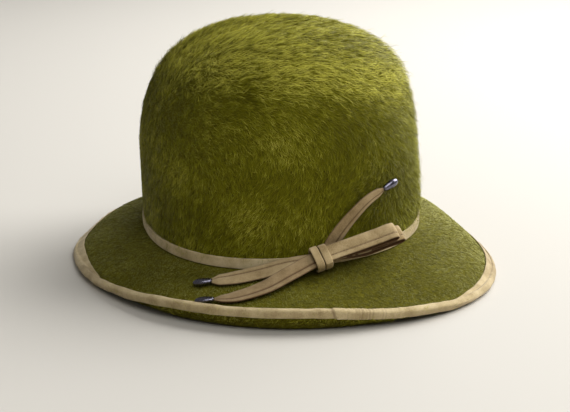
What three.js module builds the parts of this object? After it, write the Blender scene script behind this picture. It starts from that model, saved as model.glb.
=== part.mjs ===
// A felt cloche hat with a long-napped crown, a bound brim and a narrow bow, standing on its brim.
// Millimetres, +Z up. The near side, with the bow, faces -Y, and turns are degrees round the hat
// from there, positive towards +X.

import * as THREE from "three";
import { mergeVertices } from "three/addons/utils/BufferGeometryUtils.js";

// Crown felt, measured outside at the band
const crownHalfWidth = 80.4;
const crownHalfLength = 96.6;
const crownHeight = 121;
const crownSquareness = 2.25;
const crownFelt = 2;
const shoulderDrop = 4.8;
const shoulderRound = 1.85;
const crownLeanMiddle = -2.5;
const crownLeanTop = 3.2;

// Seam between crown and brim: its mean height above the table, and how much it tilts
const seamHeight = 21;
const seamTiltRight = 5.5;
const seamTiltFar = 4;
const seamLap = 6;

// Brim felt, measured to its edge from the crown's middle
const brimReachRight = 121;
const brimReachLeft = 125;
const brimReachNear = 156;
const brimReachFar = 142;
const brimSquareness = 2.2;
const brimFelt = 1.8;
const rollReach = 6.5;
const rollRise = 10;
const rollBend = 0.7;
const restWidth = 5;

// Fabric trim
const bindingWidth = 7.5;
const bindingUnder = 3.4;
const bindingFabric = 0.9;
const bandHeight = 6;
const bandFabric = 1.2;
const stripWidth = 9.6;
const stripFabric = 1.3;
const pressedShare = 0.65;
const frontLoopLength = 45.5;
const rearLoopLength = 49.5;
const loopDepth = 4.6;
const knotTurnWidth = 4.5;
const knotFabric = 1.2;
const knotHalfHeight = 7;
const knotHalfDepth = 4.6;
const knotSquareness = 5;

// The bow's place on the hat and the way it lies
const bowTurn = -2;
const bowLift = 6.5;
const bowRise = 15.5;
const bowFacing = 48;
const bowSwing = 4;

// Metal tips
const tipLength = 9.5;
const tipWidth = 4.4;
const tipThickness = 3.4;

const clearance = 0.3;

// How fine the faceted solids are
const segments = 64;

// Shallow dents in the crown: where each is, how wide as a share of the crown's half length and how
// deep as a share of its height
const dents = [
  { turn: -20, level: 0.985, spread: 0.34, depth: 0.02 },
  { turn: -8, level: 0.5, spread: 0.3, depth: 0.014 },
  { turn: -80, level: 0.9, spread: 0.3, depth: 0.012 },
];

// The brim at turns round the hat: reach scales its plan, bell is how much of its fall comes late,
// fold and rise are shares of the rolled edge, and rest is the share of the rest width that lies
// flat on the table
const brimRows = [
  { turn: -180, reach: 1, bell: 0.55, fold: 0.1, rise: 0.02, rest: 0.1 },
  { turn: -150, reach: 0.98, bell: 0.6, fold: 0.1, rise: 0.02, rest: 0.1 },
  { turn: -122, reach: 0.945, bell: 0.75, fold: 0.1, rise: 0.02, rest: 0.1 },
  { turn: -95, reach: 0.99, bell: 0.6, fold: 0.15, rise: 0.04, rest: 0.15 },
  { turn: -75, reach: 1, bell: 0.4, fold: 0.4, rise: 0.2, rest: 0.4 },
  { turn: -55, reach: 1, bell: 0.3, fold: 0.8, rise: 0.6, rest: 0.8 },
  { turn: -35, reach: 1.015, bell: 0.15, fold: 1, rise: 1, rest: 1 },
  { turn: -10, reach: 1.025, bell: 0.1, fold: 1, rise: 1.1, rest: 1 },
  { turn: 12, reach: 1.025, bell: 0.1, fold: 0.9, rise: 0.65, rest: 1 },
  { turn: 32, reach: 1.02, bell: 0.35, fold: 0.3, rise: 0.15, rest: 0.4 },
  { turn: 50, reach: 1.01, bell: 0.5, fold: 0.15, rise: 0.05, rest: 0.15 },
  { turn: 80, reach: 1, bell: 0.6, fold: 0.15, rise: 0.04, rest: 0.15 },
  { turn: 108, reach: 1, bell: 0.8, fold: 0.1, rise: 0.02, rest: 0.1 },
  { turn: 145, reach: 1, bell: 0.65, fold: 0.1, rise: 0.02, rest: 0.1 },
  { turn: 180, reach: 1, bell: 0.55, fold: 0.1, rise: 0.02, rest: 0.1 },
];

// The two left tails. Inside the knot right, lower and layer are shares of a turn's width, the
// strip's width and one pressed layer. On the brim out is a share of the way from the crown to the
// rolled edge, lift one of the bow's lift, and lie how far the strip turns from the bow's plane to
// the brim's. Width and thick are shares of the strip's.
const upperTailRows = [
  { right: -0.1, lower: 0, layer: -0.6, lie: 0, width: 0.95, thick: 0.65 },
  { right: -1.1, lower: -0.05, layer: -0.6, lie: 0, width: 0.95, thick: 0.65 },
  { turn: -12, out: 0.14, lift: 0.75, lie: 0.2, width: 0.95, thick: 1 },
  { turn: -20, out: 0.2, lift: 0.4, lie: 0.4, width: 1, thick: 1 },
  { turn: -27, out: 0.32, lift: 0.3, lie: 0.5, width: 1, thick: 1 },
  { turn: -33.5, out: 0.43, lift: 0.22, lie: 0.6, width: 0.8, thick: 1 },
];
const lowerTailRows = [
  { right: -0.1, lower: 0, layer: 0.6, lie: 0, width: 0.95, thick: 0.65 },
  { right: -1.1, lower: 0.05, layer: 0.9, lie: 0, width: 0.95, thick: 0.65 },
  { turn: -12, out: 0.34, lift: 0.85, lie: 0.3, width: 1, thick: 1 },
  { turn: -18, out: 0.5, lift: 0.45, lie: 0.6, width: 1, thick: 1 },
  { turn: -25, out: 0.68, lift: 0.25, lie: 0.8, width: 0.9, thick: 1 },
  { turn: -30, out: 0.76, lift: 0.18, lie: 1, width: 0.5, thick: 1 },
];

// The right tail comes out of the knot behind the loops and stands up against the crown: off is a
// share of the bow's lift
const rightTailRows = [
  { right: 0.2, lower: -0.03, layer: -2, width: 0.7, thick: 0.65 },
  { right: 1.35, lower: -0.08, layer: -2.3, width: 0.7, thick: 0.65 },
  { turn: 2.4, level: 0.082, off: 0.33, width: 0.9, thick: 0.65 },
  { turn: 5, level: 0.135, off: 0.38, width: 0.85, thick: 0.8 },
  { turn: 9.7, level: 0.2, off: 0.43, width: 0.75, thick: 1 },
  { turn: 16, level: 0.262, off: 0.5, width: 0.65, thick: 1 },
  { turn: 22, level: 0.29, off: 0.55, width: 0.45, thick: 1 },
];

// A row's values at any turn, eased between the rows on either side
function rowAt(rows, turn) {
  const wrapped = turn > 180 ? turn - 360 : turn;
  const after = Math.max(1, rows.findIndex((row) => row.turn >= wrapped));
  const low = rows[after - 1];
  const high = rows[after];
  const share = (wrapped - low.turn) / (high.turn - low.turn);
  const eased = THREE.MathUtils.smoothstep(share, 0, 1);
  const blended = {};
  for (const key of Object.keys(low)) blended[key] = THREE.MathUtils.lerp(low[key], high[key], eased);
  return blended;
}

function outward(turn) {
  const angle = THREE.MathUtils.degToRad(turn);
  return new THREE.Vector3(Math.sin(angle), -Math.cos(angle), 0);
}

// How far a rounded oval reaches at a turn
function ovalReach(turn, halfWidth, halfLength, squareness) {
  const way = outward(turn);
  const side = Math.abs(way.x) / halfWidth;
  const end = Math.abs(way.y) / halfLength;
  return (side ** squareness + end ** squareness) ** (-1 / squareness);
}

function crownReach(turn, inset) {
  return ovalReach(turn, crownHalfWidth - inset, crownHalfLength - inset, crownSquareness);
}

function seamAt(turn) {
  const place = outward(turn).multiplyScalar(crownReach(turn, 0));
  const right = (seamTiltRight * place.x) / crownHalfWidth;
  const far = (seamTiltFar * place.y) / crownHalfLength;
  return seamHeight + right + far;
}

// A point of the crown without dents, from level 0 at the seam to 1 at the top
function smoothCrownPoint(turn, level, inset) {
  const share = (1 - level ** shoulderDrop) ** (1 / shoulderRound);
  const point = outward(turn).multiplyScalar(crownReach(turn, inset) * share);
  point.x += crownLeanMiddle * Math.sin(Math.PI * level) ** 2 + crownLeanTop * level ** 3;
  const foot = seamAt(turn) + clearance;
  point.z = THREE.MathUtils.lerp(foot, seamHeight + crownHeight - inset, level);
  return point;
}

// The same point pushed towards the middle of the crown by its dents
function crownPoint(turn, level, inset) {
  const point = smoothCrownPoint(turn, level, inset);
  const heart = new THREE.Vector3(0, 0, seamHeight + crownHeight / 2);
  const inward = heart.clone().sub(point).normalize();
  let push = 0;
  for (const dent of dents) {
    const gap = point.distanceTo(smoothCrownPoint(dent.turn, dent.level, 0));
    const spread = dent.spread * crownHalfLength;
    push += dent.depth * crownHeight * Math.exp(-((gap / spread) ** 2));
  }
  return point.addScaledVector(inward, push);
}

// The middle of the brim's felt in a plane through the hat's axis: up inside the crown, down the
// slope, along the table at the height given and up the rolled edge
function brimPath(turn, height) {
  const row = rowAt(brimRows, turn);
  const halfWidth = outward(turn).x > 0 ? brimReachRight : brimReachLeft;
  const halfLength = outward(turn).y < 0 ? brimReachNear : brimReachFar;
  const edge = ovalReach(turn, halfWidth, halfLength, brimSquareness) * row.reach;
  const start = crownReach(turn, crownFelt + clearance) - brimFelt / 2;
  const top = seamAt(turn) - brimFelt / 2;
  const fold = edge - row.fold * rollReach;
  const foot = fold - row.rest * restWidth;
  const slope = [];
  for (const share of [0.15, 0.3, 0.45, 0.6, 0.75, 0.9, 1]) {
    const fall = (1 - row.bell) * share + row.bell * share ** 4;
    const out = THREE.MathUtils.lerp(start, foot, share);
    slope.push(new THREE.Vector2(out, THREE.MathUtils.lerp(top, height, fall)));
  }
  const path = new THREE.Path();
  path.moveTo(start, top + seamLap);
  path.lineTo(start, top);
  path.splineThru(slope);
  path.lineTo(fold, height);
  const bend = fold + row.rise * rollBend * (edge - fold);
  path.quadraticCurveTo(bend, height, edge, height + row.rise * rollRise);
  const lap = path.curves[0].getLength();
  const slopeEnd = lap + path.curves[1].getLength();
  return { turn, path, length: path.getLength(), lap, slopeEnd, start, top };
}

// The brim at a turn, raised so that neither its felt nor its binding goes below the table
function settledBrim(turn) {
  const flat = brimPath(turn, brimFelt / 2);
  const lowest = Math.min(0, ...bindingFace(flat, clearance + bindingFabric).map((point) => point.z));
  return brimPath(turn, brimFelt / 2 - lowest);
}

// A point in the plane through the hat's axis at a turn
function sectionPoint(turn, out, up) {
  return outward(turn).multiplyScalar(out).setZ(up);
}

// A point at a length along the brim's path, moved off the felt's middle towards its upper face and
// past the path along its own direction there
function pathPoint(brim, along, off, past = 0) {
  const share = THREE.MathUtils.clamp(along / brim.length, 0, 1);
  const middle = brim.path.getPointAt(share);
  const way = brim.path.getTangentAt(share);
  const out = middle.x - way.y * off + way.x * past;
  return sectionPoint(brim.turn, out, middle.y + way.x * off + way.y * past);
}

// A point above the brim's upper face, from share 0 at the crown to 1 at the end of the slope
function brimPoint(turn, share, above) {
  const brim = settledBrim(turn);
  const along = THREE.MathUtils.lerp(brim.lap, brim.slopeEnd, share);
  return pathPoint(brim, along, brimFelt / 2 + above);
}

// Closed loops of points skinned one after another. The last joins the first when ringed, and is
// capped otherwise. Faces without area, as at the crown's top, are left out.
function skin(loops, ringed, closedLoop = true) {
  const positions = [];
  const index = [];
  const count = loops[0].length;
  for (const loop of loops) for (const point of loop) positions.push(point.x, point.y, point.z);
  const at = (i) => new THREE.Vector3().fromArray(positions, i * 3);
  const addFace = (a, b, c) => {
    const face = new THREE.Triangle(at(a), at(b), at(c));
    if (face.getArea() > 1e-7) index.push(a, b, c);
  };
  const steps = ringed ? loops.length : loops.length - 1;
  for (let i = 0; i < steps; i += 1) {
    const here = i * count;
    const next = ((i + 1) % loops.length) * count;
    for (let j = 0; j < (closedLoop ? count : count - 1); j += 1) {
      const k = (j + 1) % count;
      const rising = at(here + j).distanceTo(at(next + k));
      const falling = at(here + k).distanceTo(at(next + j));
      if (rising < falling) {
        addFace(here + j, next + j, next + k);
        addFace(here + j, next + k, here + k);
      } else {
        addFace(here + j, next + j, here + k);
        addFace(here + k, next + j, next + k);
      }
    }
  }
  if (!ringed) {
    const last = (loops.length - 1) * count;
    for (let j = 1; j < count - 1; j += 1) {
      addFace(0, j, j + 1);
      addFace(last, last + j + 1, last + j);
    }
  }
  const geometry = new THREE.BufferGeometry();
  geometry.setAttribute("position", new THREE.Float32BufferAttribute(positions, 3));
  geometry.setIndex(index);
  return facingOut(mergeVertices(geometry, 1e-4));
}

// Turns a closed mesh right side out, by the sign of its volume
function facingOut(geometry) {
  const position = geometry.attributes.position;
  const index = geometry.index;
  const corner = [0, 1, 2].map(() => new THREE.Vector3());
  let volume = 0;
  for (let i = 0; i < index.count; i += 3) {
    corner.forEach((point, k) => point.fromBufferAttribute(position, index.getX(i + k)));
    volume += corner[0].dot(corner[1].clone().cross(corner[2])) / 6;
  }
  if (volume < 0) index.array.reverse();
  geometry.computeVertexNormals();
  return geometry;
}

function cloth(color) {
  return new THREE.MeshStandardMaterial({ color, roughness: 0.95, metalness: 0 });
}

function metal(color) {
  return new THREE.MeshStandardMaterial({ color, roughness: 0.3, metalness: 0.9 });
}

function piece(name, geometry, material) {
  const mesh = new THREE.Mesh(geometry, material);
  mesh.name = name;
  return mesh;
}

function turns() {
  return Array.from({ length: segments }, (unused, i) => (360 * i) / segments - 180);
}

// Crown: one felt shell, down the outside from the top and up again inside
function crownGeometry() {
  const levels = [1, 0.995, 0.975, 0.94, 0.885, 0.81, 0.72, 0.62, 0.51, 0.4, 0.28, 0.14, 0];
  const loops = turns().map((turn) => [
    ...levels.map((level) => crownPoint(turn, level, 0)),
    ...levels.toReversed().map((level) => crownPoint(turn, level, crownFelt)),
  ]);
  return skin(loops, true, false);
}

// Brim: one felt ring with an upstand inside the crown. Two of its steps lie where it rests.
function brimGeometry() {
  const roll = (Math.PI / 2) * Math.hypot(rollReach, rollRise) * Math.SQRT1_2;
  const flatStart = Math.max(roll, bindingWidth) + restWidth * 0.15;
  const flat = [(bindingWidth + flatStart) / 2, flatStart, flatStart + restWidth * 0.7];
  const loops = turns().map((turn) => {
    const brim = settledBrim(turn);
    const slope = brim.length - flat.at(-1) - brim.lap;
    const slopeSteps = [0.25, 0.5, 0.78].map((share) => brim.lap + share * slope);
    const face = (off, width) => {
      const fromEdge = [...edgeSteps(width), ...flat].toReversed();
      const steps = [...slopeSteps, ...fromEdge.map((back) => brim.length - back)];
      return [
        sectionPoint(turn, brim.start + off, brim.top + seamLap),
        sectionPoint(turn, brim.start + off, brim.top + off),
        ...steps.map((along) => pathPoint(brim, along, off)),
      ];
    };
    const under = face(-brimFelt / 2, bindingUnder).toReversed();
    return [...face(brimFelt / 2, bindingWidth), ...under];
  });
  return skin(loops, true);
}

// Lengths from the brim's edge at which its felt and a leg of its binding both have points
function edgeSteps(width) {
  return [0, 0.3, 0.62, 1].map((share) => share * width);
}

// One face of the binding at a distance from the felt: down the upper leg, round the edge and back
// along the shorter leg below
function bindingFace(brim, gap) {
  const off = brimFelt / 2 + gap;
  const leg = (side, width) =>
    edgeSteps(width).map((back) => pathPoint(brim, brim.length - back, side * off));
  const corner = (side) => pathPoint(brim, brim.length, side * off * 0.8, gap);
  const upper = leg(1, bindingWidth).toReversed();
  return [...upper, corner(1), corner(-1), ...leg(-1, bindingUnder)];
}

// Binding: a fabric strip folded over the brim's edge, with a leg on either face
function bindingGeometry() {
  const loops = turns().map((turn) => {
    const brim = settledBrim(turn);
    const outer = bindingFace(brim, clearance + bindingFabric);
    return [...outer, ...bindingFace(brim, clearance).toReversed()];
  });
  return skin(loops, true);
}

// Band: a flat fabric ring round the crown's base
function bandGeometry() {
  const loops = turns().map((turn) => {
    const inside = crownReach(turn, 0) + clearance;
    const foot = seamAt(turn) + clearance;
    const corner = (off, height) => sectionPoint(turn, inside + off, foot + height);
    return [
      corner(0, 0),
      corner(bandFabric, 0),
      corner(bandFabric, bandHeight),
      corner(0, bandHeight),
    ];
  });
  return skin(loops, true);
}

// A flat strip through stations that give its middle, the way across it, its facing and its size
function stripGeometry(stations) {
  const outline = [
    [-0.5, 0],
    [-0.44, 0.5],
    [0.44, 0.5],
    [0.5, 0],
    [0.44, -0.5],
    [-0.44, -0.5],
  ];
  const loops = stations.map((station) =>
    outline.map(([side, face]) => {
      const point = station.middle.clone();
      point.addScaledVector(station.across, side * station.width);
      return point.addScaledVector(station.facing, face * station.thickness);
    }),
  );
  return skin(loops, false);
}

// The bow's own directions: along its loops, the way it faces, and across from upper to lower edge
const bowAlong = outward(bowTurn + 90 + bowSwing)
  .multiplyScalar(Math.cos(THREE.MathUtils.degToRad(bowRise)))
  .add(new THREE.Vector3(0, 0, Math.sin(THREE.MathUtils.degToRad(bowRise))));
const bowFace = outward(bowTurn)
  .multiplyScalar(Math.cos(THREE.MathUtils.degToRad(bowFacing)))
  .add(new THREE.Vector3(0, 0, Math.sin(THREE.MathUtils.degToRad(bowFacing))));
bowFace.addScaledVector(bowAlong, -bowFace.dot(bowAlong)).normalize();
const bowAcross = bowFace.clone().cross(bowAlong).negate();
const layerPitch = stripFabric * pressedShare + clearance;
const knotMiddle = outward(bowTurn)
  .multiplyScalar(crownReach(bowTurn, 0) + clearance + bandFabric + bowLift)
  .add(new THREE.Vector3(0, 0, seamAt(bowTurn) + bowLift));

// A point given from the knot's middle
function bowPoint(right, lower, forward) {
  return knotMiddle
    .clone()
    .addScaledVector(bowAlong, right)
    .addScaledVector(bowAcross, lower)
    .addScaledVector(bowFace, forward);
}

// Knot: one strip wound twice round the middle of the bow. It crosses from one turn to the other at
// the back, and both of its ends stop beside that crossing.
function knotGeometry() {
  const pitch = knotTurnWidth + clearance;
  const crossing = 0.14;
  const steps = 32;
  const stations = Array.from({ length: steps + 1 }, (unused, i) => {
    const wind = ((i / steps) * 2 - 1) * (1 - crossing);
    const angle = 2 * Math.PI * wind - Math.PI / 2;
    const crossed = THREE.MathUtils.smoothstep(wind, -crossing, crossing) - 0.5;
    const height = knotHalfHeight - knotFabric / 2;
    const depth = knotHalfDepth - knotFabric / 2;
    const reach = ovalReach((180 * angle) / Math.PI, depth, height, knotSquareness);
    const normal = new THREE.Vector3()
      .addScaledVector(bowAcross, Math.cos(angle) / height)
      .addScaledVector(bowFace, Math.sin(angle) / depth);
    return {
      middle: bowPoint(crossed * pitch, reach * Math.cos(angle), reach * Math.sin(angle)),
      across: bowAlong,
      facing: normal.normalize(),
      width: knotTurnWidth,
      thickness: knotFabric,
    };
  });
  return stripGeometry(stations);
}

// Loops: a strip out of the knot, round its far end and back underneath. Its first layer leaves the
// knot as the given layer, and its middle sinks away from the knot's as it opens.
function loopGeometry(length, layer, sink) {
  const half = (loopDepth - stripFabric) / 2;
  const bendStart = length - loopDepth / 2;
  const openStart = 2.2 * knotTurnWidth;
  const openEnd = 5.5 * knotTurnWidth;
  const layerRows = (side) =>
    [0.02, 0.12, 0.22, 0.35, 0.55, 0.8, 1].map((share) => {
      const open = THREE.MathUtils.smoothstep(share * bendStart, openStart, openEnd);
      const pressed = (layer - (side < 0 ? 1 : 0)) * layerPitch;
      return {
        right: share * bendStart,
        forward: THREE.MathUtils.lerp(pressed, side * half - sink, open),
        bend: side > 0 ? 0 : 180,
        thickness: stripFabric * THREE.MathUtils.lerp(pressedShare, 1, open),
      };
    });
  const bendRows = [30, 60, 90, 120, 150].map((bend) => {
    const angle = THREE.MathUtils.degToRad(bend);
    const right = bendStart + half * Math.sin(angle);
    return { right, forward: half * Math.cos(angle) - sink, bend, thickness: stripFabric };
  });
  const rows = [...layerRows(1), ...bendRows, ...layerRows(-1).toReversed()];
  const stations = rows.map((row) => {
    const angle = THREE.MathUtils.degToRad(row.bend);
    const face = bowFace.clone().multiplyScalar(Math.cos(angle));
    return {
      middle: bowPoint(row.right, 0, row.forward),
      across: bowAcross,
      facing: face.addScaledVector(bowAlong, Math.sin(angle)),
      width: stripWidth,
      thickness: row.thickness,
    };
  });
  return stripGeometry(stations);
}

// Stations of a tail along a smooth line through its rows, with the way across each and its facing
function tailStations(rows, middleAt, facingAt, steps) {
  const line = new THREE.CatmullRomCurve3(rows.map(middleAt), false, "centripetal");
  return Array.from({ length: steps + 1 }, (unused, i) => {
    const share = i / steps;
    const place = share * (rows.length - 1);
    const low = Math.min(Math.floor(place), rows.length - 2);
    const mix = place - low;
    const forward = line.getTangent(share);
    const face = facingAt(rows[low]).lerp(facingAt(rows[low + 1]), mix);
    face.addScaledVector(forward, -face.dot(forward)).normalize();
    return {
      middle: line.getPoint(share),
      across: forward.clone().cross(face),
      facing: face,
      along: forward,
      width: stripWidth * THREE.MathUtils.lerp(rows[low].width, rows[low + 1].width, mix),
      thickness: stripFabric * THREE.MathUtils.lerp(rows[low].thick, rows[low + 1].thick, mix),
    };
  });
}

function inKnot(row) {
  return bowPoint(row.right * knotTurnWidth, row.lower * stripWidth, row.layer * layerPitch);
}

function brimTail(rows) {
  const middle = (row) => {
    if ("layer" in row) return inKnot(row);
    return brimPoint(row.turn, row.out, clearance + stripFabric / 2 + row.lift * bowLift);
  };
  const face = (row) => {
    if ("layer" in row) return bowFace.clone();
    const level = brimPoint(row.turn, row.out, 1).sub(brimPoint(row.turn, row.out, 0));
    return bowFace.clone().lerp(level, row.lie);
  };
  return tailStations(rows, middle, face, 15);
}

function crownTail(rows) {
  const middle = (row) => {
    if ("layer" in row) return inKnot(row);
    return crownPoint(row.turn, row.level, -row.off * bowLift);
  };
  const face = (row) => ("layer" in row ? bowFace.clone() : outward(row.turn));
  return tailStations(rows, middle, face, 15);
}

// Tip: a rounded metal bead, a little narrower where it holds the strip
function tipGeometry(end) {
  const outline = [
    { along: 0, size: 0.5 },
    { along: 0.12, size: 0.66 },
    { along: 0.3, size: 0.78 },
    { along: 0.55, size: 1 },
    { along: 0.8, size: 0.85 },
    { along: 0.95, size: 0.5 },
    { along: 1, size: 0.2 },
  ];
  const sides = 10;
  const loops = outline.map((row) =>
    Array.from({ length: sides }, (unused, i) => {
      const angle = (2 * Math.PI * i) / sides;
      const point = end.middle.clone();
      point.addScaledVector(end.along, clearance + row.along * tipLength);
      point.addScaledVector(end.across, (Math.cos(angle) * row.size * tipWidth) / 2);
      return point.addScaledVector(end.facing, (Math.sin(angle) * row.size * tipThickness) / 2);
    }),
  );
  return skin(loops, false);
}

const napGreen = 0x5f5a1c;
const fabricTan = 0x8f8262;
const gunmetal = 0x4e4c54;
const upperTail = brimTail(upperTailRows);
const lowerTail = brimTail(lowerTailRows);
const rightTail = crownTail(rightTailRows);
const rearLoopSink = loopDepth + 2 * clearance;

const hat = new THREE.Group();
hat.add(piece("crown", crownGeometry(), cloth(napGreen)));
hat.add(piece("brim", brimGeometry(), cloth(napGreen)));
hat.add(piece("brim_binding", bindingGeometry(), cloth(fabricTan)));
hat.add(piece("crown_band", bandGeometry(), cloth(fabricTan)));
hat.add(piece("bow_knot", knotGeometry(), cloth(fabricTan)));
hat.add(piece("bow_loop_front", loopGeometry(frontLoopLength, 2, 0), cloth(fabricTan)));
hat.add(piece("bow_loop_rear", loopGeometry(rearLoopLength, 0, rearLoopSink), cloth(fabricTan)));
hat.add(piece("tail_upper_left", stripGeometry(upperTail), cloth(fabricTan)));
hat.add(piece("tail_lower_left", stripGeometry(lowerTail), cloth(fabricTan)));
hat.add(piece("tail_right", stripGeometry(rightTail), cloth(fabricTan)));
hat.add(piece("tip_upper_left", tipGeometry(upperTail.at(-1)), metal(gunmetal)));
hat.add(piece("tip_lower_left", tipGeometry(lowerTail.at(-1)), metal(gunmetal)));
hat.add(piece("tip_right", tipGeometry(rightTail.at(-1)), metal(gunmetal)));

// The origin is on the table, below the middle of the whole hat
const bounds = new THREE.Box3().setFromObject(hat);
hat.position.set(-(bounds.min.x + bounds.max.x) / 2, -(bounds.min.y + bounds.max.y) / 2, -bounds.min.z);

export default hat;
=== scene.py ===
"""A felt cloche hat with a long brushed nap, a bound brim and a narrow bow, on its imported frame."""
import math
from functools import partial

import bmesh
import bpy
import numpy as np
from mathutils import Matrix, Vector, kdtree, noise


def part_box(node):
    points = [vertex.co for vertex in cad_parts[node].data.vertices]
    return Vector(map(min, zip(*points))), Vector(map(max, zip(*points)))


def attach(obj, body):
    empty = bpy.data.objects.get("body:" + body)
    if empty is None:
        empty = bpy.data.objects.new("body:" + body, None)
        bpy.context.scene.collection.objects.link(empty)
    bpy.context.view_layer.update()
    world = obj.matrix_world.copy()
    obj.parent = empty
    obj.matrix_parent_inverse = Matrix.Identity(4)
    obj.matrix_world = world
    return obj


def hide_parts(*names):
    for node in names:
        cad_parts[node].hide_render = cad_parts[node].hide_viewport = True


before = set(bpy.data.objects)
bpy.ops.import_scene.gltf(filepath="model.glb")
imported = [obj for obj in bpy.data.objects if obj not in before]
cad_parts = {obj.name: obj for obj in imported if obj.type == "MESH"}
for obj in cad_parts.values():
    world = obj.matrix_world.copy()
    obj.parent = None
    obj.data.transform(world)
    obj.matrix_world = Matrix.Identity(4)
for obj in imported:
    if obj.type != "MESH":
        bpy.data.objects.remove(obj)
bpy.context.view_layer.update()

# Camera: at the height of someone seated at a table, looking down on the side with the bow from a
# little to its left. The lens gives the width that the hat has in a 570 by 412 picture.
CAMERA_TURN = math.radians(-15)
CAMERA_RISE = math.radians(14)
CAMERA_DISTANCE = 0.858
CAMERA_LENS = 88.4
LOOK_RIGHT = 0.004
LOOK_UP = 0.027

band_low, band_high = (Vector(corner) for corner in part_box("crown_band"))
crown_middle = (band_low + band_high) / 2
crown_middle.z = 0
to_right = Vector((math.cos(CAMERA_TURN), math.sin(CAMERA_TURN), 0))
to_camera = Vector((math.sin(CAMERA_TURN), -math.cos(CAMERA_TURN), 0)) * math.cos(CAMERA_RISE)
to_camera.z = math.sin(CAMERA_RISE)
to_top = to_camera.cross(to_right)
look_at = crown_middle + LOOK_RIGHT * to_right + LOOK_UP * Vector((0, 0, 1))
camera_data = bpy.data.cameras.new("camera")
camera_data.lens = CAMERA_LENS
camera_data.sensor_width = 36
camera_data.clip_end = 20
camera = bpy.data.objects.new("camera", camera_data)
camera.matrix_world = (
    Matrix.Translation(look_at + CAMERA_DISTANCE * to_camera)
    @ Matrix((to_right, to_top, to_camera)).transposed().to_4x4()
)
bpy.context.collection.objects.link(camera)
bpy.context.scene.camera = camera

# Studio: a pale floor that runs far back, large soft lights behind the hat and behind its right
# shoulder, and a weaker one in front, so that the left side falls into shade.
FLOOR_SIZE = 9
FLOOR_PAINT = 0xC4C0B8
SKY_PAINT = 0xE6E4E0
SKY_STRENGTH = 0.27


def paint(code):
    """An sRGB hex colour as linear red, green, blue and alpha."""
    shares = [(code >> shift & 255) / 255 for shift in (16, 8, 0)]
    linear = [s / 12.92 if s <= 0.04045 else ((s + 0.055) / 1.055) ** 2.4 for s in shares]
    return (*linear, 1)


def add_node(tree, kind, inputs=None, **settings):
    """A shader node with its settings, its plain values and its links from other sockets."""
    node = tree.nodes.new(kind)
    for key, value in settings.items():
        setattr(node, key, value)
    for key, value in (inputs or {}).items():
        if isinstance(value, bpy.types.NodeSocket):
            tree.links.new(value, node.inputs[key])
        else:
            node.inputs[key].default_value = value
    return node


def new_material(name):
    """An empty material that is made of nodes, and its node tree."""
    material = bpy.data.materials.new(name)
    material.use_nodes = True
    material.node_tree.nodes.clear()
    return material, material.node_tree


def put_out(tree, shader):
    """Connects a material's shader to its output."""
    add_node(tree, "ShaderNodeOutputMaterial", {"Surface": shader.outputs[0]})


floor_material, tree = new_material("floor_paper")
put_out(tree, add_node(tree, "ShaderNodeBsdfPrincipled", {
    "Base Color": paint(FLOOR_PAINT),
    "Roughness": 0.9,
    "Specular IOR Level": 0.2,
}))
shape = bmesh.new()
bmesh.ops.create_grid(shape, x_segments=1, y_segments=1, size=FLOOR_SIZE / 2)
floor_mesh = bpy.data.meshes.new("floor")
shape.to_mesh(floor_mesh)
shape.free()
floor_mesh.materials.append(floor_material)
floor = bpy.data.objects.new("floor", floor_mesh)
bpy.context.collection.objects.link(floor)

world = bpy.data.worlds.new("studio")
world.use_nodes = True
world.node_tree.nodes["Background"].inputs["Color"].default_value = paint(SKY_PAINT)
world.node_tree.nodes["Background"].inputs["Strength"].default_value = SKY_STRENGTH
bpy.context.scene.world = world
bpy.context.scene.view_settings.view_transform = "Standard"

lamps = [
    {"name": "window", "turn": 98, "rise": 42, "away": 1.6, "size": 1.4, "watts": 37},
    {"name": "curtain", "turn": 145, "rise": 33, "away": 2.2, "size": 1.6, "watts": 30},
    {"name": "room", "turn": 6, "rise": 46, "away": 1.6, "size": 1.0, "watts": 8.5},
]
for row in lamps:
    lamp_data = bpy.data.lights.new(row["name"], "AREA")
    lamp_data.shape = "DISK"
    lamp_data.size = row["size"]
    lamp_data.energy = row["watts"]
    turn, rise = math.radians(row["turn"]), math.radians(row["rise"])
    toward = Vector((math.sin(turn), -math.cos(turn), 0)) * math.cos(rise)
    toward.z = math.sin(rise)
    lamp = bpy.data.objects.new(row["name"], lamp_data)
    lamp.matrix_world = (
        Matrix.Translation(crown_middle + row["away"] * toward)
        @ toward.to_track_quat("Z", "Y").to_matrix().to_4x4()
    )
    bpy.context.collection.objects.link(lamp)

# Crown felt: one piece of rabbit felt blocked over a form, seen from outside only between the
# hairs of its nap. It takes the frame's solid, smoothed and a few millimetres fuller over the
# shoulders, with a dense matted surface.
FELT_DARK = 0x3F3A06
FELT_LIGHT = 0x6A6514
FELT_TUFT = 3.5
SHARP = math.radians(50)
TWIST = math.radians(70)
SHOULDER_LEVEL = 4.8
SHOULDER_FULLER = 0.06
TOP_TO_LEFT = 0.002


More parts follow.
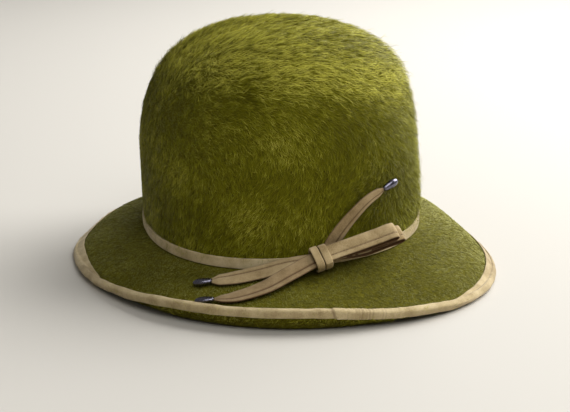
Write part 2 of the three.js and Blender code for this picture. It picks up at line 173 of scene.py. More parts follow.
def smooth_copy(node, levels, bevel=0.0):
    """A frame solid's mesh with its corners merged and its faces made four-sided, ready to smooth."""
    shape = bmesh.new()
    shape.from_mesh(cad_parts[node].data)
    bmesh.ops.remove_doubles(shape, verts=shape.verts, dist=1e-6)
    bmesh.ops.join_triangles(
        shape, faces=shape.faces, angle_face_threshold=SHARP, angle_shape_threshold=TWIST,
    )
    if bevel:
        edges = [e for e in shape.edges if e.is_manifold and e.calc_face_angle() > SHARP]
        bmesh.ops.bevel(
            shape, geom=edges, offset=bevel, affect="EDGES", segments=2, profile=0.5, material=-1,
        )
    if levels:
        whole = bpy.data.meshes.new("rough")
        shape.to_mesh(whole)
        shape.free()
        rough = bpy.data.objects.new("rough", whole)
        bpy.context.collection.objects.link(rough)
        smoothing = rough.modifiers.new("smoothing", "SUBSURF")
        smoothing.levels = smoothing.render_levels = levels
        shape = bmesh.new()
        shape.from_mesh(rough.evaluated_get(bpy.context.evaluated_depsgraph_get()).to_mesh())
        bpy.data.objects.remove(rough)
        bpy.data.meshes.remove(whole)
    return shape


def make_piece(name, shape, material, slot, *nodes):
    """The finished piece of a shape: shaded smooth, riding on the hat, in place of its nodes."""
    mesh = bpy.data.meshes.new(name)
    shape.to_mesh(mesh)
    shape.free()
    mesh.shade_smooth()
    mesh.materials.append(material)
    piece = bpy.data.objects.new(name, mesh)
    bpy.context.collection.objects.link(piece)
    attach(piece, "root")
    if nodes:
        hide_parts(*nodes)
    return piece


felt, tree = new_material("rabbit_felt")
place = add_node(tree, "ShaderNodeTexCoord").outputs["Object"]
tufts = add_node(tree, "ShaderNodeTexNoise", {
    "Vector": place, "Scale": 1000 / FELT_TUFT, "Detail": 6, "Roughness": 0.7,
})
colours = add_node(tree, "ShaderNodeValToRGB", {"Fac": tufts.outputs[0]})
colours.color_ramp.elements[0].position = 0.3
colours.color_ramp.elements[0].color = paint(FELT_DARK)
colours.color_ramp.elements[1].position = 0.72
colours.color_ramp.elements[1].color = paint(FELT_LIGHT)
relief = add_node(tree, "ShaderNodeBump", {
    "Height": tufts.outputs[0], "Strength": 0.8, "Distance": 0.0006,
})
put_out(tree, add_node(tree, "ShaderNodeBsdfPrincipled", {
    "Base Color": colours.outputs[0],
    "Normal": relief.outputs[0],
    "Roughness": 0.95,
    "Specular IOR Level": 0.1,
}))

crown_low, crown_high = (Vector(corner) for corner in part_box("crown"))
shape = smooth_copy("crown", 1)
for vert in shape.verts:
    level = max(0, (vert.co.z - crown_low.z) / (crown_high.z - crown_low.z))
    fuller = max(0.02, 1 - level ** SHOULDER_LEVEL) ** -SHOULDER_FULLER - 1
    out = vert.co - crown_middle
    vert.co.x += fuller * out.x - TOP_TO_LEFT * level ** 3
    vert.co.y += fuller * out.y
crown = make_piece("crown_felt", shape, felt, "nap_felt", "crown")

# Crown nap: the felt's own hairs, brushed out long and then laid. They run to the right over the top,
# turn down round the shoulder and lean back to the left on the near wall, in loose tufts that stand
# a little off the felt on the right.
NAP_ROOT = 0x38340A
NAP_MIDDLE = 0x7C7A14
NAP_TIP = 0xD4CE58
NAP_BLOOM = 0xC9C354
# A real hair, 0.02 to 0.05 mm thick, would be too fine to show, so each one drawn is a few together
TOP_HAIR = {"length": 0.0062, "width": 0.0002, "lift": 0.0012, "segments": 3}
TOP_HAIRS = 39000
WALL_HAIR = {"length": 0.0044, "width": 0.00017, "lift": 0.0008, "segments": 2}
WALL_HAIRS = 60000
FAR_HAIRS = 40000
HAIRS_PER_TUFT = 15
GATHER = 0.6
ASTRAY = 0.36
ROLL = 0.45
CURL = 0.14
TIP_WIDTH = 0.65
STRAY_SHARE = 0.05
STRAY_LIFT = 1.6
TONE = 0.48
TONE_PATCH = 0.04
TONE_TUFT = 0.006
SWEEP_SIZES = (0.05, 0.055, 0.06)
LOCK_SIZES = (0.008, 0.009, 0.01)
OVER_THE_TOP = (1.0, -0.35, -0.3)
BAND_TALL = 0.006
# Painted shade: spots on the near wall, how far each reaches and how much darker it is
PAINTED_SHADE_SPOTS = [(0.045, -0.08, 0.064), (0.014, -0.092, 0.078), (0.03, -0.087, 0.046)]
PAINTED_SHADE_REACH = 0.017
PAINTED_SHADE_DARK = 0.13
HEART = (0, 0, 0.05)
ABOVE_FELT = 0.0001
ABOVE_TABLE = 0.0001


def ripple(points, size, seed):
    """A smooth random value from about -1 to 1 at each point, in patches of a size in metres."""
    random = np.random.default_rng(seed)
    ways = random.normal(size=(7, 3))
    ways *= (2 * math.pi / size) / np.linalg.norm(ways, axis=1)[:, None]
    phases = random.uniform(0, 2 * math.pi, 7)
    return np.sin(points @ ways.T + phases).sum(axis=1) / 2.6


def sway(points, sizes, seed):
    """A smooth random vector at each point, whose three parts change over three sizes in metres."""
    return np.stack([ripple(points, size, seed + k) for k, size in enumerate(sizes)], axis=1)


def unit(vectors):
    """Each row of an array of vectors, made one long."""
    return vectors / np.maximum(np.linalg.norm(vectors, axis=1), 1e-9)[:, None]


def places_on(piece, wanted, count, seed):
    """Even random places on the faces of a piece that are wanted, and the way the felt faces there."""
    mesh = piece.data
    mesh.calc_loop_triangles()
    corners = np.empty(len(mesh.loop_triangles) * 3, dtype=np.int32)
    mesh.loop_triangles.foreach_get("vertices", corners)
    corners = corners.reshape(-1, 3)
    points = np.empty(len(mesh.vertices) * 3)
    mesh.vertices.foreach_get("co", points)
    points = points.reshape(-1, 3)
    facing = np.empty(len(mesh.vertices) * 3)
    mesh.vertices.foreach_get("normal", facing)
    facing = facing.reshape(-1, 3)
    middles = points[corners].mean(axis=1)
    ways = unit(facing[corners].sum(axis=1))
    corners = corners[wanted(middles, ways)]
    a, b, c = (points[corners[:, k]] for k in range(3))
    areas = np.linalg.norm(np.cross(b - a, c - a), axis=1)
    random = np.random.default_rng(seed)
    chosen = random.choice(len(corners), size=count, p=areas / areas.sum())
    u, v = random.uniform(size=(2, count))
    over = u + v > 1
    u[over], v[over] = 1 - u[over], 1 - v[over]
    shares = np.stack([1 - u - v, u, v], axis=1)[:, :, None]
    places = (points[corners[chosen]] * shares).sum(axis=1)
    return places, unit((facing[corners[chosen]] * shares).sum(axis=1))


def find_tufts(places):
    """The number of the tuft that each place belongs to, and the way from it to the tuft's middle."""
    middles = places[: len(places) // HAIRS_PER_TUFT]
    tree = kdtree.KDTree(len(middles))
    for k, middle in enumerate(middles):
        tree.insert(middle, k)
    tree.balance()
    numbers = np.array([tree.find(place)[1] for place in places])
    return numbers, middles[numbers] - places


def make_nap(name, places, facing, growth, hair, seed, material):
    """Hairs on a piece as one mesh of narrow tapered ribbons. Their growth gives at each place the flow
    along which they lie, their reach, how far they stand off, how much they gather in tufts, and their
    shade, a shift in tone that also carries painted light and shade. The mesh's attributes are tip,
    from root to tip, and tone, which tells tufts and single hairs apart."""
    random = np.random.default_rng(seed)
    count = len(places)
    tuft, reach, stand = growth["tuft"], growth["reach"], growth["stand"]
    numbers, gather = find_tufts(places)
    gather = GATHER * tuft[:, None] * (gather - (gather * facing).sum(axis=1)[:, None] * facing)
    along = growth["flow"] + (ASTRAY - 0.08 * tuft)[:, None] * random.normal(size=(count, 3))
    along = unit(along - (along * facing).sum(axis=1)[:, None] * facing)
    across = np.cross(facing, along)
    roll = random.normal(scale=ROLL, size=count)[:, None]
    blade = across * np.cos(roll) + facing * np.sin(roll)
    length = hair["length"] * (reach * random.uniform(0.6, 1.2, count))[:, None]
    lift = hair["lift"] * stand[:, None] * random.uniform(0.4, 1.6, count)[:, None]
    lift = lift * np.where(random.uniform(size=count) < STRAY_SHARE, STRAY_LIFT, 1)[:, None]
    curl = (CURL + 0.16 * tuft)[:, None] * random.normal(size=(count, 1))
    steps = hair["segments"]
    rings = []
    for step in range(steps + 1):
        share = step / steps
        rise = lift * share * (2 - share) + ABOVE_FELT
        middle = places + along * length * share + facing * rise
        middle = middle + across * curl * length * share ** 2 + gather * share ** 0.7
        half = blade * hair["width"] / 2 * (1 - (1 - TIP_WIDTH) * share)
        rings += [middle] if step == steps else [middle - half, middle + half]
    points = np.stack(rings, axis=1)
    points[:, :, 2] = np.maximum(points[:, :, 2], ABOVE_TABLE)
    per_hair = 2 * steps + 1
    faces = [[2 * k, 2 * k + 1, 2 * k + 3, 2 * k + 2] for k in range(steps - 1)]
    faces.append([per_hair - 3, per_hair - 2, per_hair - 1])
    sizes = np.array([len(face) for face in faces])
    pattern = np.concatenate(faces)
    starts = np.concatenate([[0], np.cumsum(sizes)[:-1]])
    hairs = np.arange(count)[:, None]
    mesh = bpy.data.meshes.new(name)
    mesh.vertices.add(count * per_hair)
    mesh.vertices.foreach_set("co", points.ravel())
    mesh.loops.add(count * len(pattern))
    mesh.loops.foreach_set("vertex_index", (pattern + hairs * per_hair).ravel())
    mesh.polygons.add(count * len(faces))
    mesh.polygons.foreach_set("loop_start", (starts + hairs * len(pattern)).ravel())
    mesh.update(calc_edges=True)
    tips = np.repeat(np.arange(steps + 1) / steps, 2)[:per_hair]
    paler = (0.45 + 0.55 * tuft)[:, None] * tips
    mesh.attributes.new("tip", "FLOAT", "POINT").data.foreach_set("value", paler.ravel())
    tone = TONE + growth["shade"]
    tone = tone + 0.07 * ripple(places, TONE_PATCH, 4) + 0.04 * ripple(places, TONE_TUFT, 5)
    tone = tone + (0.02 + 0.07 * tuft) * random.normal(size=count)[numbers]
    tone = tone + (0.09 + 0.11 * tuft) * random.normal(size=count)
    mesh.attributes.new("tone", "FLOAT", "POINT").data.foreach_set("value", np.repeat(tone, per_hair))
    cells = math.ceil(math.sqrt(count))
    sides = np.array([0, 1] * steps + [0.5])
    corner = np.stack([0.2 + 0.6 * sides[pattern], 0.15 + 0.7 * tips[pattern]], axis=1)
    cell = np.stack([np.arange(count) % cells, np.arange(count) // cells], axis=1)[:, None, :]
    chart = mesh.uv_layers.new(name="OFBake")
    chart.data.foreach_set("uv", ((cell + corner) / cells).ravel())
    mesh.shade_smooth()
    mesh.materials.append(material)
    piece = bpy.data.objects.new(name, mesh)
    bpy.context.collection.objects.link(piece)
    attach(piece, "root")
    return piece


def nap_material(name, root, middle, tip, bloom, bloom_weight, gloss):
    """Animal hair dyed olive: dark and matt at the root, paler and shinier towards the tip, with a pale
    bloom where it is seen along the felt."""
    material, tree = new_material(name)
    share = add_node(tree, "ShaderNodeAttribute", attribute_name="tip").outputs["Fac"]
    tone = add_node(tree, "ShaderNodeAttribute", attribute_name="tone").outputs["Fac"]
    weight = add_node(tree, "ShaderNodeMath", {0: share, 1: 0.45}, operation="MULTIPLY")
    both = add_node(tree, "ShaderNodeMath", {0: tone, 1: weight.outputs[0]}, operation="ADD")
    colours = add_node(tree, "ShaderNodeValToRGB", {"Fac": both.outputs[0]})
    ramp = colours.color_ramp
    ramp.elements[0].position = 0.2
    ramp.elements[0].color = paint(root)
    ramp.elements[1].position = 1.15
    ramp.elements[1].color = paint(tip)
    ramp.elements.new(0.68).color = paint(middle)
    put_out(tree, add_node(tree, "ShaderNodeBsdfPrincipled", {
        "Base Color": colours.outputs[0],
        "Roughness": gloss,
        "Specular IOR Level": 0.25,
        "Specular Tint": paint(tip),
        "Sheen Weight": bloom_weight,
        "Sheen Roughness": 0.35,
        "Sheen Tint": paint(bloom),
    }))
    return material


def ease(values, low, high):
    """A smooth step for each value, from 0 at low to 1 at high."""
    share = np.clip((values - low) / (high - low), 0, 1)
    return share * share * (3 - 2 * share)


def around(places):
    """The way round the hat at each place, anticlockwise from above, and the way out from its axis."""
    out = places - np.array(crown_middle)
    out[:, 2] = 0
    out = unit(out)
    return np.stack([-out[:, 1], out[:, 0], np.zeros(len(out))], axis=1), out


def crown_flow(places, facing):
    """The way the crown's hairs lie, with wide sweeps and small locks in it. Top, near and low run
    up to 1 on top of the crown, on its near left wall and at its foot."""
    round_way, out = around(places)
    top = ease(facing[:, 2] + 0.3 * np.maximum(-facing[:, 0], 0), 0.1, 0.75)[:, None]
    near = ease(-out[:, 1] - 0.8 * out[:, 0], -0.2, 0.8)[:, None]
    low = ease(-places[:, 2], -0.115, -0.05)[:, None]
    down = np.array([0.0, 0.0, -1.0]) + (1.1 - 1.5 * low) * near * round_way
    flow = top * np.array(OVER_THE_TOP) + (1 - top) * down
    locks = (0.26 + 0.04 * top) * sway(places, LOCK_SIZES, 21)
    return flow + 0.25 * sway(places, SWEEP_SIZES, 11) + locks


def crown_stand(places, facing):
    """How much the nap stands off: most on the right shoulder, in the tufts on top, and at the foot,
    where it hangs over the band."""
    right = ease(facing[:, 0], 0.1, 0.9)
    top = ease(facing[:, 2], 0.3, 0.9)
    band = [v.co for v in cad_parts["crown_band"].data.vertices]
    tree = kdtree.KDTree(len(band))
    for k, corner in enumerate(band):
        tree.insert((corner.x, corner.y, 0), k)
    tree.balance()
    rims = np.array([band[tree.find((x, y, 0))[1]].z for x, y in places[:, :2]])
    foot = 1 - ease(places[:, 2] - rims, BAND_TALL, BAND_TALL + 0.004)
    left = ease(-facing[:, 0], 0.2, 0.8) * ease(facing[:, 2], 0.1, 0.5)
    proud = 0.5 * top + 0.3 * left + (1.9 - 1.6 * foot) * right + 0.3 * ripple(places, 0.009, 31)
    return 0.7 + proud + 0.9 * foot


def crown_tuft(facing):
    """How much the nap gathers in tufts: a little on the walls, most over the top."""
    return 0.15 + 0.85 * ease(facing[:, 2] + 0.15 * facing[:, 0], 0.3, 0.75)


def crown_painted_shade(places):
    """Painted shade: darker in a few patches on the near wall."""
    shade = np.zeros(len(places))
    for spot in PAINTED_SHADE_SPOTS:
        gaps = np.linalg.norm(places - np.array(crown_middle) - spot, axis=1)
        shade -= PAINTED_SHADE_DARK * np.exp(-((gaps / PAINTED_SHADE_REACH) ** 2))
    return shade


def on_crown(middles, ways, steep, side):
    """Which of the crown's outer faces are steep or not, and on which side: near -1, far 1, both 0."""
    outer = (ways * (middles - np.array(crown_middle) - HEART)).sum(axis=1) > 0
    return outer & ((ways[:, 2] <= 0.5) == steep) & (ways[:, 1] * side >= 0)


crown_hair = nap_material(
    "brushed_crown_nap", NAP_ROOT, NAP_MIDDLE, NAP_TIP, NAP_BLOOM, bloom_weight=0.28, gloss=0.5,
)
crown_parts = [
    {"name": "top", "hair": TOP_HAIR, "count": TOP_HAIRS, "steep": False, "side": 0},
    {"name": "near", "hair": WALL_HAIR, "count": WALL_HAIRS, "steep": True, "side": -1},
    {"name": "far", "hair": WALL_HAIR, "count": FAR_HAIRS, "steep": True, "side": 1},
]
for seed, row in enumerate(crown_parts):
    wanted = partial(on_crown, steep=row["steep"], side=row["side"])
    places, facing = places_on(crown, wanted, row["count"], seed)
    growth = {
        "flow": crown_flow(places, facing),
        "reach": 0.9 + 0.2 * ease(facing[:, 2], 0.2, 0.8),
        "stand": crown_stand(places, facing),
        "tuft": crown_tuft(facing),
        # Painted shade in patches on the near wall, and painted light over the top, where the nap
        # gathers most in tufts
        "shade": crown_painted_shade(places) + 0.1 * crown_tuft(facing),
    }
    make_nap("crown_nap_" + row["name"], places, facing, growth, row["hair"], 40 + seed, crown_hair)

# Brim: one piece of the same felt, shorn to a short smooth nap above and left long below, where it
# shows under the binding along the near edge. The hairs run outwards from the crown.
BRIM_ROOT = 0x535017
BRIM_MIDDLE = 0x747228
BRIM_TIP = 0xA6A356
BRIM_BLOOM = 0xE2DFA4
SHORN_HAIR = {"length": 0.0021, "width": 0.00017, "lift": 0.0002, "segments": 2}
SHORN_HAIRS = 66000
UNDER_HAIR = {"length": 0.0042, "width": 0.0002, "lift": 0.0008, "segments": 2}
UNDER_HAIRS = 45000
BRIM_SWEEP_SIZES = (0.03, 0.035, 0.04)
# Painted light on the brim's nap towards its right and left ends, and painted shade just right of the
# middle, in front of the bow
PAINTED_LIGHT_RIGHT = 0.46
PAINTED_LIGHT_LEFT = 0.06
PAINTED_SHADE_MIDDLE = 0.16

brim = make_piece("brim_felt", smooth_copy("brim", 1), felt, "nap_felt", "brim")
shorn_nap = nap_material(
    "shorn_brim_nap", BRIM_ROOT, BRIM_MIDDLE, BRIM_TIP, BRIM_BLOOM, bloom_weight=0.85, gloss=0.6,
)


def brim_flow(places):
    """The way the brim's hairs lie: outwards, and a little round it."""
    round_way, out = around(places)
    return out + 0.25 * round_way + 0.35 * sway(places, BRIM_SWEEP_SIZES, 51)


def on_brim_top(middles, ways):
    """Which of the brim's faces look up and lie outside the crown."""
    out = (middles - np.array(crown_middle))[:, :2]
    return (ways[:, 2] > 0.1) & (np.linalg.norm(out, axis=1) > 0.08)


def on_brim_underside(middles, ways):
    """Which of the brim's faces look down."""
    return ways[:, 2] < -0.1


places, facing = places_on(brim, on_brim_top, SHORN_HAIRS, 5)
even = np.ones(len(places))
to_the_right = places[:, 0] - crown_middle.x
# Painted light towards the ends of the brim and painted shade in front of the bow
brim_painted_light = PAINTED_LIGHT_RIGHT * ease(to_the_right, 0.03, 0.13) + PAINTED_LIGHT_LEFT * ease(-to_the_right, 0, 0.05)
brim_painted_light -= PAINTED_SHADE_MIDDLE * np.exp(-(((to_the_right - 0.015) / 0.04) ** 2))
growth = {
    "flow": brim_flow(places),
    "reach": even,
    "stand": even,
    "tuft": 0.1 * even,
    "shade": brim_painted_light + 0.05 * ripple(places, 0.025, 61),
}
make_nap("brim_nap_above", places, facing, growth, SHORN_HAIR, 45, shorn_nap)
places, facing = places_on(brim, on_brim_underside, UNDER_HAIRS, 6)
stand = ease(places[:, 2], 0.001, 0.004)
growth = {
    "flow": brim_flow(places),
    "reach": 0.3 + 0.7 * stand,
    "stand": stand,
    "tuft": 0.3 * stand,
    "shade": 0.1 * stand,
}
make_nap("brim_nap_below", places, facing, growth, UNDER_HAIR, 46, crown_hair)

# Brim binding: a bias strip of thin wool cloth folded over the felt's edge and sewn through. It is
# pulled round the curve, so that it puckers, most of all beside the lap where its ends meet.
BINDING_CLOTH = (0x8A764E, 0xB09D74, 0xC9B78E)
# The brown that cloth is darkened towards, for painted shade and for dirt from handling
SHADE_AND_DIRT_BROWN = 0x52351A
# Painted shade on the binding and band at the hat's right end
PAINTED_SHADE_RIGHT = 0.3
# Threads in millimetres, drawn about twice as coarse as real ones so that they show
THREAD = 0.55
FADED_PATCH = 11.1
PUCKER = 0.00028
PUCKER_WIDE = (0.006, 0.02)
PUCKER_FINE = (0.0025, 0.01)
LAP_TURN = math.radians(-4.8)
LAP_STEP = 0.00045
LAP_EDGE = 0.0008
LAP_FADE = 0.012
LAP_SLANT = 0.4
LAP_HEIGHT = 0.011
# Painted shade just before the lap's step: where it starts and how wide it is
LAP_SHADE_FROM = 0.0003
LAP_SHADE_WIDE = 0.0007
GATHER_TURN = math.radians(1.5)
GATHER_SPREAD = 0.012
GATHER_PITCH = 0.0019
GATHER_UNEVEN = 0.004
GATHER_CUTS = 85
GATHER_CUTS_BEFORE = 15
GATHER_CUT = math.radians(0.2)
NEAR_SIDE = 0.08


def cloth_material(name, dark, middle, light):
    """Fine matt wool cloth: even, with a slight mottle where the dye has faded, and darkened towards
    brown as a vertex attribute says: painted shade in seam grooves, fold hollows, beside the lap,
    inside loops and at the hat's right end, darker long edges, and dirt from handling."""
    material, tree = new_material(name)
    place = add_node(tree, "ShaderNodeTexCoord").outputs["Object"]
    fade = add_node(tree, "ShaderNodeTexNoise", {
        "Vector": place, "Scale": 1000 / FADED_PATCH, "Detail": 4, "Roughness": 0.6,
    })
    fibre = add_node(tree, "ShaderNodeTexNoise", {
        "Vector": place, "Scale": 1000 / THREAD, "Detail": 3, "Roughness": 0.7,
    })
    blend = add_node(
        tree, "ShaderNodeMath", {0: fibre.outputs[0], 1: 0.6, 2: -0.3}, operation="MULTIPLY_ADD",
    )
    both = add_node(tree, "ShaderNodeMath", {0: fade.outputs[0], 1: blend.outputs[0]}, operation="ADD")
    colours = add_node(tree, "ShaderNodeValToRGB", {"Fac": both.outputs[0]})
    ramp = colours.color_ramp
    ramp.elements[0].position = 0.25
    ramp.elements[0].color = paint(dark)
    ramp.elements[1].position = 0.78
    ramp.elements[1].color = paint(light)
    ramp.elements.new(0.5).color = paint(middle)
    shade_and_dirt = add_node(tree, "ShaderNodeAttribute", attribute_name="shade_and_dirt").outputs["Fac"]
    brim_painted_light = add_node(
        tree, "ShaderNodeMix", {0: shade_and_dirt, 6: colours.outputs[0], 7: paint(SHADE_AND_DIRT_BROWN)}, data_type="RGBA",
    )
    relief = add_node(tree, "ShaderNodeBump", {
        "Height": fibre.outputs[0], "Strength": 0.5, "Distance": 0.0002,
    })
    put_out(tree, add_node(tree, "ShaderNodeBsdfPrincipled", {
        "Base Color": brim_painted_light.outputs[2],
        "Normal": relief.outputs[0],
        "Roughness": 0.85,
        "Specular IOR Level": 0.2,
        "Sheen Weight": 0.15,
        "Sheen Roughness": 0.5,
    }))
    return material


def painted_shade_right(out):
    """Painted shade on the trim at the hat's right end, from the way out to it."""
    return PAINTED_SHADE_RIGHT * max(0, out.x / math.hypot(out.x, out.y)) ** 3


binding_cloth = cloth_material("wool_binding_cloth", *BINDING_CLOTH)
shape = smooth_copy("brim_binding", 2)
for step in range(GATHER_CUTS):
    turn = LAP_TURN + (step - GATHER_CUTS_BEFORE) * GATHER_CUT
    cut = Vector((math.cos(turn), math.sin(turn), 0))
    near = [f for f in shape.faces if f.calc_center_median().y < crown_middle.y - NEAR_SIDE]
    parts = near + list({e for f in near for e in f.edges}) + list({v for f in near for v in f.verts})
    bmesh.ops.bisect_plane(shape, geom=parts, dist=1e-6, plane_co=crown_middle, plane_no=cut)
shape.normal_update()
shade_and_dirt = shape.verts.layers.float.new("shade_and_dirt")
for vert in shape.verts:
    out = vert.co - crown_middle
    turn = math.atan2(out.x, -out.y)
    reach = math.hypot(out.x, out.y)
    push = PUCKER * noise.noise((turn * reach / PUCKER_WIDE[0], vert.co.z / PUCKER_WIDE[1], 3))
    push += 0.6 * PUCKER * noise.noise((turn * reach / PUCKER_FINE[0], vert.co.z / PUCKER_FINE[1], 7))
    past = (turn - GATHER_TURN) * reach
    gather = math.exp(-(past / GATHER_SPREAD) ** 2)
    uneven = noise.noise((past / GATHER_UNEVEN, 2, 5))
    fold = math.sin(2 * math.pi * past / GATHER_PITCH + 3 * uneven) * (0.6 + uneven)
    push += 0.6 * PUCKER * gather * fold
    lap = (turn - LAP_TURN) * reach - LAP_SLANT * (LAP_HEIGHT - vert.co.z)
    push += LAP_STEP * min(1, max(0, lap / LAP_EDGE)) * math.exp(-max(0, lap) / LAP_FADE)
    # Painted shade in the hollows of the gathers, beside the lap's step, and at the hat's right end
    lap_shade = math.exp(-((lap + LAP_SHADE_FROM) / LAP_SHADE_WIDE) ** 2)
    vert[shade_and_dirt] = 0.5 * gather * max(0, -fold) ** 2 + 0.5 * lap_shade + painted_shade_right(out)
    vert.co += vert.normal * push
    vert.co.z = max(vert.co.z, ABOVE_TABLE)
make_piece("binding_cloth", shape, binding_cloth, "trim_cloth", "brim_binding")

# Crown band: a flat strip of the same cloth round the crown's base, over the seam between crown and
# brim, with soft turned edges. Its cloth is painted a little paler than the bow's as painted light, and
# its right end is darkened with painted shade.
BAND_CLOTH_PAINTED_PALER = (0x9E895E, 0xC5B187, 0xDCCAA1)
TURNED_EDGE = 0.0003
shape = smooth_copy("crown_band", 1, bevel=TURNED_EDGE)
shade_and_dirt = shape.verts.layers.float.new("shade_and_dirt")
for vert in shape.verts:
    # Painted shade at the band's right end
    vert[shade_and_dirt] = painted_shade_right(vert.co - crown_middle)
band_cloth = cloth_material("wool_band_cloth_painted_paler", *BAND_CLOTH_PAINTED_PALER)
make_piece("band_cloth", shape, band_cloth, "trim_cloth", "crown_band")

# Bow strips: a tube of the same cloth turned and pressed flat, with a seam sewn near one long edge.
# The loops and the loose ends follow the frame's strips, section by section.
BOW_CLOTH = (0x86714A, 0xAD976E, 0xC6B086)
SEAM_SHARE = 0.36
SEAM_WIDTH = 0.09
SEAM_DEPTH = 0.00028
SECTION_CORNERS = 6
SECTION_POINTS = 36
EDGE_ROUND = 0.75
FACE_FLAT = 0.55
WAVE = 0.00012
WAVE_SIZE = 0.007
STATION_STEP = 0.0009
CRIMP = 0.0045
CRIMP_WIDTH = 0.42
# Painted shade inside the loops and in the seam's groove, and darkening towards the long edges
INSIDE_SHADE = 0.95
SEAM_SHADE = 0.55
EDGE_DARKENING = 0.5
EDGE_DARKENING_FROM = 0.86
STITCH = {"length": 0.0013, "pitch": 0.0021, "width": 0.0003}
THREAD_PAINTED_SHADE = 0x4C4028


def main_axes(node):
    """The middle of a node's corners and its long, middle and short directions."""
    points = np.array([v.co[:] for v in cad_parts[node].data.vertices])
    middle = points.mean(axis=0)
    ways = np.linalg.svd(points - middle, full_matrices=False)[2]
    return Vector(middle), [Vector(way) for way in ways]


def strip_sections(node, start, way, upper=None):
    """A packed strip's sections in order: middle, half width across, and half thickness. They are
    found ring by ring from the corners that lie first along a way."""
    shape = bmesh.new()
    shape.from_mesh(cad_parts[node].data)
    bmesh.ops.remove_doubles(shape, verts=shape.verts, dist=1e-6)
    first = sorted(shape.verts, key=lambda v: (v.co - start).dot(way))
    if upper:
        first = sorted(first[: 2 * SECTION_CORNERS], key=lambda v: -v.co.dot(upper))
    ring, seen, sections = set(first[:SECTION_CORNERS]), set(), []
    while ring:
        seen |= ring
        corners = [v.co.copy() for v in ring]
        middle = sum(corners, Vector()) / len(corners)
        half = max(corners, key=lambda c: (c - middle).length) - middle
        if sections and half.dot(sections[-1][1]) < 0:
            half = -half
        across = half.normalized()
        depth = max((c - middle - across * (c - middle).dot(across)).length for c in corners)
        sections.append((middle, half, depth))
        ring = {e.other_vert(v) for v in ring for e in v.link_edges} - seen
    shape.free()
    return sections


def resample(sections, step):
    """The same sections along a smooth line, a step apart."""
    rows = np.array([[*m, *h, d] for m, h, d in sections])
    gaps = np.linalg.norm(np.diff(rows[:, :3], axis=0), axis=1)
    spots = np.concatenate([[0], np.cumsum(gaps)])
    slopes = np.gradient(rows, spots, axis=0)
    fine = np.linspace(0, spots[-1], max(8, round(spots[-1] / step)))
    low = np.clip(np.searchsorted(spots, fine, side="right") - 1, 0, len(gaps) - 1)
    span = gaps[low][:, None]
    t = ((fine - spots[low]) / gaps[low])[:, None]
    return (
        (2 * t**3 - 3 * t**2 + 1) * rows[low] + (t**3 - 2 * t**2 + t) * span * slopes[low]
        + (3 * t**2 - 2 * t**3) * rows[low + 1] + (t**3 - t**2) * span * slopes[low + 1]
    )


def make_strip(name, node, sections, seam_side, soil, looped=False):
    """A cloth strip through its sections, with a sunk seam, and the stitches that lie in it. Painted
    shade darkens the seam's groove and the inside of a loop, the long edges are darker, and a loose end
    narrows where it is crimped into its metal tip. Soil is how far handling has browned it all over."""
    rows = resample(sections, STATION_STEP)
    middles = rows[:, :3]
    ways = unit(np.gradient(middles, axis=0))
    if not looped:
        opened = ease(np.arange(len(rows)) * STATION_STEP, -0.001, CRIMP)[:, None]
        rows[:, 3:] *= CRIMP_WIDTH + (1 - CRIMP_WIDTH) * opened
    halves = rows[:, 3:6]
    ups = unit(np.cross(ways, halves))
    inwards = ((middles.mean(axis=0) - middles) * ups).sum(axis=1)
    angles = [2 * math.pi * (k + 0.5) / SECTION_POINTS for k in range(SECTION_POINTS)]
    shape = bmesh.new()
    shade_and_dirt = shape.verts.layers.float.new("shade_and_dirt")
    last = None
    for k, (middle, half, up) in enumerate(zip(middles, halves, ups)):
        wave = WAVE * noise.noise(Vector(middle) / WAVE_SIZE)
        ring = []
        for angle in angles:
            c, s = math.cos(angle), math.sin(angle)
            side = math.copysign(abs(c) ** EDGE_ROUND, c)
            rise = math.copysign(abs(s) ** FACE_FLAT, s) * rows[k, 6]
            sunk = math.exp(-((side - SEAM_SHARE * seam_side) / SEAM_WIDTH) ** 2)
            rise -= math.copysign(SEAM_DEPTH * sunk, s)
            vert = shape.verts.new(middle + half * side + up * (rise + wave))
            inside = looped and s * inwards[k] > 0
            edge = max(0, abs(side) - EDGE_DARKENING_FROM) / (1 - EDGE_DARKENING_FROM)
            # Painted shade inside a loop and in the seam's groove, darker long edges, and soil from
            # handling
            vert[shade_and_dirt] = soil + (INSIDE_SHADE if inside else SEAM_SHADE * sunk + EDGE_DARKENING * edge)
            ring.append(vert)
        edges = [shape.edges.new((ring[j], ring[(j + 1) % len(ring)])) for j in range(len(ring))]
        if last:
            bmesh.ops.bridge_loops(shape, edges=last + edges)
        last = edges
    bmesh.ops.holes_fill(shape, edges=[e for e in shape.edges if e.is_boundary], sides=0)
    bmesh.ops.recalc_face_normals(shape, faces=shape.faces)
    make_piece(name, shape, bow_cloth, "trim_cloth", node)
    threads = bmesh.new()
    every = STITCH["pitch"] / STATION_STEP
    for spot in np.arange(4, len(rows) - 4, every):
        k = int(spot)
        for face in (1, -1):
            seat = middles[k] + halves[k] * SEAM_SHARE * seam_side
            seat = seat + ups[k] * face * (rows[k, 6] * 0.97 - SEAM_DEPTH)
            turn = Matrix([unit(halves[k][None])[0], ways[k], ups[k]]).transposed().to_4x4()
            size = Matrix.Diagonal((STITCH["width"] / 2, STITCH["length"] / 2, STITCH["width"] / 2, 1))
            bmesh.ops.create_uvsphere(
                threads, u_segments=6, v_segments=4, radius=1,
                matrix=Matrix.Translation(seat) @ turn @ size,
            )
    make_piece(name + "_stitches", threads, thread, "trim_cloth")
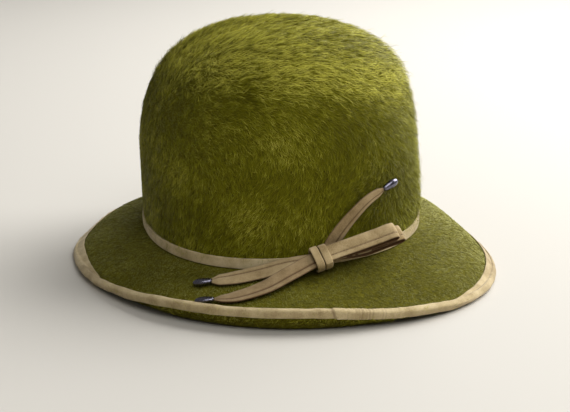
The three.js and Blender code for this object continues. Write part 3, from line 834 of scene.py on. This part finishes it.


# Sewing thread of spun cotton, matt, painted darker than the cloth for the shade round each stitch, so
# that the stitches show as dashes
thread, tree = new_material("cotton_thread")
put_out(tree, add_node(tree, "ShaderNodeBsdfPrincipled", {
    "Base Color": paint(THREAD_PAINTED_SHADE), "Roughness": 0.8, "Specular IOR Level": 0.3,
}))
bow_cloth = cloth_material("wool_bow_cloth", *BOW_CLOTH)
knot_middle = main_axes("bow_knot")[0]
for name in ("bow_loop_front", "bow_loop_rear"):
    middle, (along, across, upper) = main_axes(name)
    if along.dot(middle - knot_middle) < 0:
        along = -along
    if upper.z < 0:
        upper = -upper
    sections = strip_sections(name, knot_middle, along, upper)
    lower_edge = -1 if sections[0][1].z > 0 else 1
    piece_name = name.replace("bow_", "") + "_cloth"
    make_strip(piece_name, name, sections, lower_edge, soil=0, looped=True)
for end, seam_edge, soil in (("upper_left", -1, 0.14), ("lower_left", 1, 0.42), ("right", 1, 0.3)):
    tip_middle, tip_ways = main_axes("tip_" + end)
    tail_middle = main_axes("tail_" + end)[0]
    way = tip_ways[0]
    if way.dot(tail_middle - tip_middle) < 0:
        way = -way
    sections = strip_sections("tail_" + end, tip_middle, way)
    lower_edge = -1 if sections[0][1].z > 0 else 1
    make_strip("tail_" + end + "_cloth", "tail_" + end, sections, seam_edge * lower_edge, soil)

# Bow knot: the same strip wound twice round the roots of the loops and the loose ends, pulled tight
# and sewn behind. Its turned edges are soft, and the seam doesn't show.
shape = smooth_copy("bow_knot", 2, bevel=TURNED_EDGE)
make_piece("knot_cloth", shape, bow_cloth, "trim_cloth", "bow_knot")

# Metal tips: pressed steel beads with a dark gunmetal plating, crimped on the strip ends. Their
# polish is worn, so that highlights break up.
GUNMETAL = 0x6C6A76
BEAD_SWELL = 0.00055
SCUFF = 1.11
gunmetal, tree = new_material("gunmetal_plated_steel")
place = add_node(tree, "ShaderNodeTexCoord").outputs["Object"]
scuffs = add_node(tree, "ShaderNodeTexNoise", {"Vector": place, "Scale": 1000 / SCUFF, "Detail": 4})
polish = add_node(tree, "ShaderNodeMapRange", {
    "Value": scuffs.outputs[0], "From Min": 0.3, "From Max": 0.7, "To Min": 0.1, "To Max": 0.35,
})
dents = add_node(tree, "ShaderNodeBump", {
    "Height": scuffs.outputs[0], "Strength": 0.3, "Distance": 0.0002,
})
put_out(tree, add_node(tree, "ShaderNodeBsdfPrincipled", {
    "Base Color": paint(GUNMETAL),
    "Metallic": 1.0,
    "Roughness": polish.outputs[0],
    "Normal": dents.outputs[0],
}))
for end in ("upper_left", "lower_left", "right"):
    node = "tip_" + end
    shape = smooth_copy(node, 2)
    shape.normal_update()
    for vert in shape.verts:
        vert.co += BEAD_SWELL * vert.normal
    make_piece("bead_" + end, shape, gunmetal, "dark_metal", node)
